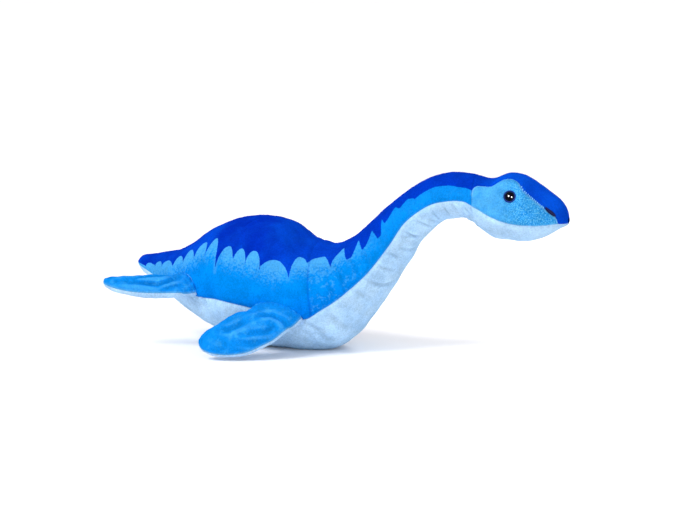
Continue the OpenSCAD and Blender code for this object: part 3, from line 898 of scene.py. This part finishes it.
def build_flipper(name, side_name, top_material, under_material):
    """The upper and the lower cloth of one flipper, sewn together round the rim."""
    flipper = FLIPPERS[name]
    flip = 1 if side_name == "right" else -1
    body = f"{name}_flipper_{side_name}"
    for face, side, material, slot in (("top", 1, top_material, "plush_mid"),
                                       ("under", -1, under_material, "plush_pale")):
        points, u, v, rise, thick = flipper_surface(flipper, side)
        normal = -side * grid_normals(points)
        edge = np.minimum(np.linalg.norm(points - points[:, :1], axis=-1),
                          np.linalg.norm(points - points[:, -1:], axis=-1))
        rim = np.minimum(edge, np.linalg.norm(points - points[-1:, :1], axis=-1))
        fold = sum(fold_relief(u, v, *row) for row in FLIPPER_FOLDS[name])
        relief = flipper_relief(fold, u, v, rise, rim)
        relief = relief if side > 0 else 0.5 * relief
        relief = relief + (0.45 * wavy(points, 11, 26) + 0.2 * wavy(points, 12, 10)) * (
            np.clip(rim / 6, 0, 1))
        outer = points + normal * (relief * np.clip(thick / 4, 0, 1))[..., None]
        outer[..., 2] = np.maximum(outer[..., 2], FLIPPER_CLEAR)
        normal = -side * grid_normals(outer)
        inner = outer - normal * np.minimum(FLIPPER_FABRIC, 0.3 * thick)[..., None]
        inner[..., 2] = np.maximum(inner[..., 2], FLIPPER_CLEAR + 0.2)
        values = {"seam": np.minimum(rim, rise * 1.5 + 0.3), "fold": fold}
        piece = new_shell(f"{body}_{face}_cloth", outer, inner, normal, material, values,
                          flip, turned=side * flip < 0)
        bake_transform(piece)
        nodes = [f"{name}_flipper_{face}_{side_name}"]
        if side > 0:
            nodes.append(f"{name}_flipper_filling_{side_name}")
        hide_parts(*nodes)


# ------------------------------ the face


def frame_at(s, a):
    """Point, outward direction, direction along the body and across it on the finished skin."""
    point = skin(np.array([s]), np.array([a]))[0]
    normal = skin_normals(np.array([s]), np.array([a]))[0]
    ahead = skin(np.array([s + 0.05]), np.array([a]))[0] - point
    ahead = unit(ahead - (ahead @ normal) * normal)
    return point, normal, ahead, np.cross(normal, ahead)


def lathe(name, profile, centre, axis, material, segments=64):
    """Closed turned piece from (radius, height) pairs that start and end on the axis."""
    axis = unit(axis)
    x = unit(np.cross(axis, (1, 0, 0) if abs(axis[2]) > 0.9 else (0, 0, 1)))
    y = np.cross(axis, x)
    angles = np.linspace(0, 2 * math.pi, segments, endpoint=False)
    points = [centre + axis * profile[0][1]]
    for radius, height in profile[1:-1]:
        for angle in angles:
            points.append(centre + axis * height
                          + radius * (x * math.cos(angle) + y * math.sin(angle)))
    points.append(centre + axis * profile[-1][1])
    return new_object(name, points, ring_faces(len(profile) - 2, segments), material)


def build_eye(side_name, black, blue):
    """Glossy domed eye in a dark blue ring."""
    flip = 1 if side_name == "right" else -1
    centre = body_point(*EYE) * (1, flip, 1)
    axis = unit(EYE_AXIS) * (1, flip, 1)
    dome = [(0, -1.5), (EYE_RADIUS, -1.5), (EYE_RADIUS, 0.2)]
    dome += [(EYE_RADIUS * math.cos(b), 0.2 + EYE_RISE * math.sin(b))
             for b in np.linspace(0.06, math.pi / 2, 16)[:-1]]
    dome += [(0, 0.2 + EYE_RISE)]
    eye = lathe(f"eye_dome_{side_name}", dome, centre, axis, black)
    ring = [(0, -1.6), (5.5, -1.6), (5.75, -0.6), (5.7, 0.2), (5.4, 0.7), (5.0, 0.85),
            (4.7, 0.75), (4.55, 0.3), (4.5, -0.8), (0, -1.0)]
    collar = lathe(f"eye_ring_{side_name}", ring, centre, axis, blue)
    for piece in (eye, collar):
        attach(piece, "head")
    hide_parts(f"eye_{side_name}")


def tube(path, radius, segments=7):
    """Points and faces of a closed round thread along a path."""
    path = np.asarray(path, float)
    tangent = np.gradient(path, axis=0)
    tangent /= np.linalg.norm(tangent, axis=1, keepdims=True)
    points = [path[0]]
    helper = unit(np.cross(tangent[0], (0.3, 0.2, 0.93)))
    for k, p in enumerate(path):
        x = unit(helper - (helper @ tangent[k]) * tangent[k])
        y = np.cross(tangent[k], x)
        taper = 1 if 0 < k < len(path) - 1 else 0.55
        for j in range(segments):
            angle = 2 * math.pi * j / segments
            points.append(p + taper * radius * (x * math.cos(angle) + y * math.sin(angle)))
    return points + [path[-1]], ring_faces(len(path), segments)


def threads(name, paths, radius, material, flip):
    """One object made of many threads; flip is -1 for the left side and 1 for the right."""
    points, faces = [], []
    for path in paths:
        more, links = tube(path, radius)
        faces += [[len(points) + i for i in face] for face in links]
        points += more
    points = np.array(points) * (1, flip, 1)
    if flip < 0:
        faces = [f[::-1] for f in faces]
    return new_object(name, points, faces, material)


def build_nostril(side_name, material):
    """Satin-stitched nostril: threads laid side by side over the crown's seam."""
    flip = 1 if side_name == "right" else -1
    (s0, a0), (s1, a1) = NOSTRIL
    ends = skin(np.array([s0, s1]), np.array([a0, a1]))
    lengthwise = unit(ends[1] - ends[0])
    count = int(np.linalg.norm(ends[1] - ends[0]) / 0.55)
    paths = []
    for k in range(count):
        share = (k + 0.5) / count
        s, a = s0 + (s1 - s0) * share, a0 + (a1 - a0) * share
        half = 1.6 * math.sqrt(max(1 - (2 * share - 1)**2, 0.05))
        point, normal, _, _ = frame_at(s, a)
        across = unit(np.cross(normal, lengthwise))
        path = []
        for w in np.linspace(-1, 1, 9):
            lift = 0.95 * math.sqrt(max(1 - 0.9 * w * w, 0)) - 0.15
            path.append(point + across * half * w + normal * (lift + GROOVE_DEPTH * 0.8))
        paths.append(path)
    piece = threads(f"nostril_{side_name}_stitching", paths, 0.36, material, flip)
    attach(piece, "head")
    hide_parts(f"nostril_{side_name}")


def build_brow_stitches(side_name, material):
    """Small stitches that show along the seam of the crown and the cheek."""
    flip = 1 if side_name == "right" else -1
    stations = np.linspace(22.15, 23.85, 15)
    paths = []
    for s in stations:
        a = float(crown_angle(s))
        point, normal, ahead, across = frame_at(s, a)
        lean = unit(ahead * 0.35 - across)
        paths.append([point + lean * w + normal * (0.9 + 0.35 * (1 - (w / 0.8)**2))
                      for w in np.linspace(-0.8, 0.8, 7)])
    piece = threads(f"brow_stitches_{side_name}", paths, 0.3, material, flip)
    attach(piece, "head")


def build_pouch(material):
    """Pellet pouch inside the belly, a small flat bag with a seam round its middle."""
    low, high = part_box("pellet_pouch")
    centre = (np.array(low) + np.array(high)) / 2 / MM
    radius, half = (high[0] - low[0]) / 2 / MM, (high[2] - low[2]) / 2 / MM
    profile = [(0, -half)]
    for b in np.linspace(-math.pi / 2, math.pi / 2, 22)[1:-1]:
        seam = 0.5 * bell(b, 0.12)
        profile.append((radius * math.cos(b)**0.45 - seam, half * math.sin(b)))
    profile.append((0, half))
    piece = lathe("pellet_pouch_cloth", profile, centre, (0, 0, 1), material)
    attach(piece, "torso")
    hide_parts("pellet_pouch")


def pouch_material():
    """Plain woven cotton of the pellet pouch."""
    m = Nodes("pouch_cloth")
    weave = m.add("ShaderNodeTexWave", {"Vector": m.place, "Scale": 400}, bands_direction="X")
    cotton = m.mix(weave.outputs["Fac"], srgb(206, 200, 186), srgb(226, 222, 212))
    return m.dress(Base_Color=cotton, Roughness=0.9)


# ------------------------------ stage


def build_floor():
    """Plain white paper under the toy, out to the horizon."""
    m = Nodes("floor_paper")
    mottle = m.ramp(m.noise(0.4, 2), 0.3, 0.7)
    m.dress(Base_Color=m.mix(mottle, srgb(253, 249, 250), srgb(254, 250, 251)), Roughness=0.9)
    size = 40000
    corners = [(-size, -size, 0), (size, -size, 0), (size, size, 0), (-size, size, 0)]
    floor = new_object("floor", corners, [[0, 1, 2, 3]], m.material)
    floor.visible_glossy = False


def aim(name, data, direction, place=(0, 0, 0)):
    """Adds a lamp or a camera that looks back along a direction."""
    obj = bpy.data.objects.new(name, data)
    obj.location = place
    obj.rotation_euler = Vector(direction).to_track_quat("Z", "Y").to_euler()
    bpy.context.scene.collection.objects.link(obj)
    return obj


def build_lights():
    """A bright room and broad soft lamps, kept out of the reflections, and round windows that
    show only as reflections in the eyes."""
    scene = bpy.context.scene
    world = bpy.data.worlds.new("bright_room")
    world.use_nodes = True
    world.node_tree.nodes["Background"].inputs["Color"].default_value = (1, 1, 1, 1)
    world.node_tree.nodes["Background"].inputs["Strength"].default_value = 0.6
    scene.world = world
    world.cycles_visibility.glossy = False
    scene.view_settings.view_transform = "Standard"

    # The place that each sun's light comes from, its share of white, and its spread in degrees
    suns = [("key_sun", (-0.6, -0.75, 1.0), 0.72, 28), ("fill_sun", (0.9, -1.0, 0.35), 0.2, 50)]
    for name, place, strength, spread in suns:
        data = bpy.data.lights.new(name, "SUN")
        data.energy, data.angle = strength * math.pi, math.radians(spread)
        aim(name, data, place).visible_glossy = False
    eye = Vector(body_point(*EYE)) * MM
    windows = [("window_left", (-0.042, -1.197, 0.686)), ("window_right", (1.185, -0.84, 0.23)),
               ("window_left_far", (-0.042, 1.197, 0.686))]
    for name, place in windows:
        data = bpy.data.lights.new(name, "AREA")
        data.shape, data.size, data.energy = "DISK", 0.6, 50
        aim(name, data, Vector(place) - eye, place).visible_diffuse = False


def build_camera():
    """The camera that sees the toy from its right and a little from the front."""
    azimuth, elevation = math.radians(CAMERA_AZIMUTH), math.radians(CAMERA_ELEVATION)
    back = Vector((math.sin(azimuth) * math.cos(elevation),
                   -math.cos(azimuth) * math.cos(elevation), math.sin(elevation)))
    data = bpy.data.cameras.new("camera")
    data.sensor_width, data.lens = 36, 36 * CAMERA_DISTANCE / VIEW_WIDTH
    data.clip_start, data.clip_end = 0.05, 100
    place = Vector(CAMERA_TARGET) + back * CAMERA_DISTANCE
    bpy.context.scene.camera = aim("camera", data, back, place)


# ------------------------------ the whole toy

build_floor()
build_lights()
build_camera()
side_cloth, pale_cloth = side_material(), pale_material()
build_sides(side_cloth)
build_underside(pale_cloth)
build_head(crown_material(), cheek_material(), pale_cloth)
flipper_cloth = flipper_material()
black = glass_material("eye_black", (0.004, 0.004, 0.008, 1), 0.05)
blue = glass_material("eye_blue", srgb(6, 42, 124), 0.4, 0.08)
dark_thread = thread_material("dark_thread", srgb(6, 10, 66))
light_thread = thread_material("light_thread", srgb(130, 205, 250))
for side in ("right", "left"):
    for which in ("front", "rear"):
        build_flipper(which, side, flipper_cloth, pale_cloth)
    build_eye(side, black, blue)
    build_nostril(side, dark_thread)
    build_brow_stitches(side, light_thread)
build_pouch(pouch_material())

washer = glass_material("washer_white", (0.8, 0.8, 0.78, 1), 0.35)
for side in ("right", "left"):
    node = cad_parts[f"eye_washer_{side}"]
    node.data.materials.clear()
    node.data.materials.append(washer)
